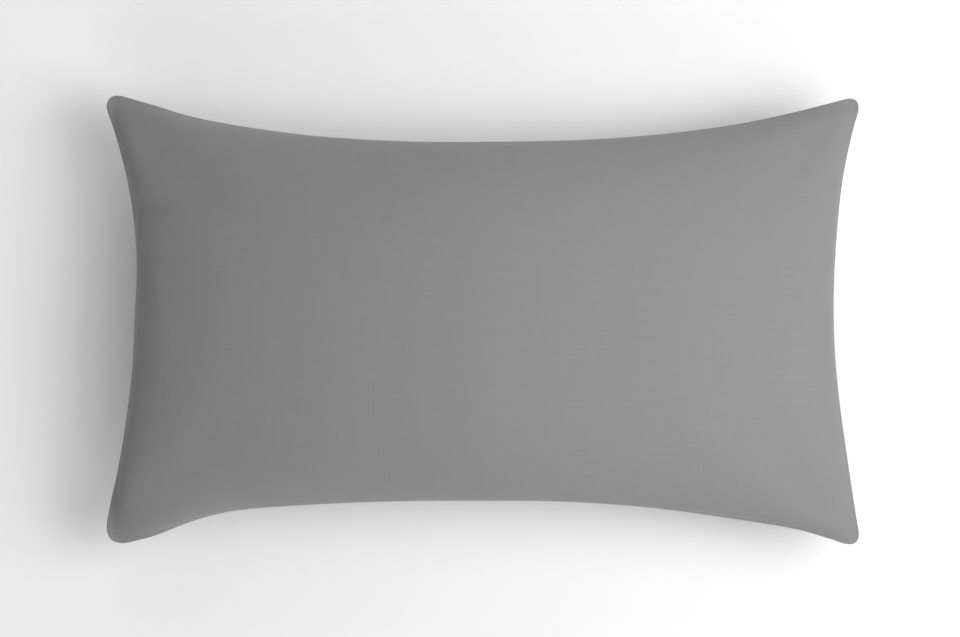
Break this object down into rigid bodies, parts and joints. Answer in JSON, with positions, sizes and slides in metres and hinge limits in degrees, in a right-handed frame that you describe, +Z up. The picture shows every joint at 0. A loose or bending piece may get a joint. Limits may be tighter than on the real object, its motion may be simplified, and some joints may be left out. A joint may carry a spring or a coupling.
{
  "type": "rectangular cushion",
  "caption": "Plain rectangular lumbar cushion with knife-edge seams, a filled crown, drawn-in sides and rounded corner ears, lying on its back.",
  "frame": {"origin": "on the surface that the cushion lies on, under the middle of its length and width", "axes": "+X along the cushion's length, +Y across its width, +Z up out of the face that shows"},
  "size_m": [0.4899, 0.2923, 0.126],
  "materials": {
    "cover_cloth": "matt, plain mid-grey woven cotton"
  },
  "bodies": {
    "root": {"cushion": "cover_cloth"}
  },
  "joints": []
}
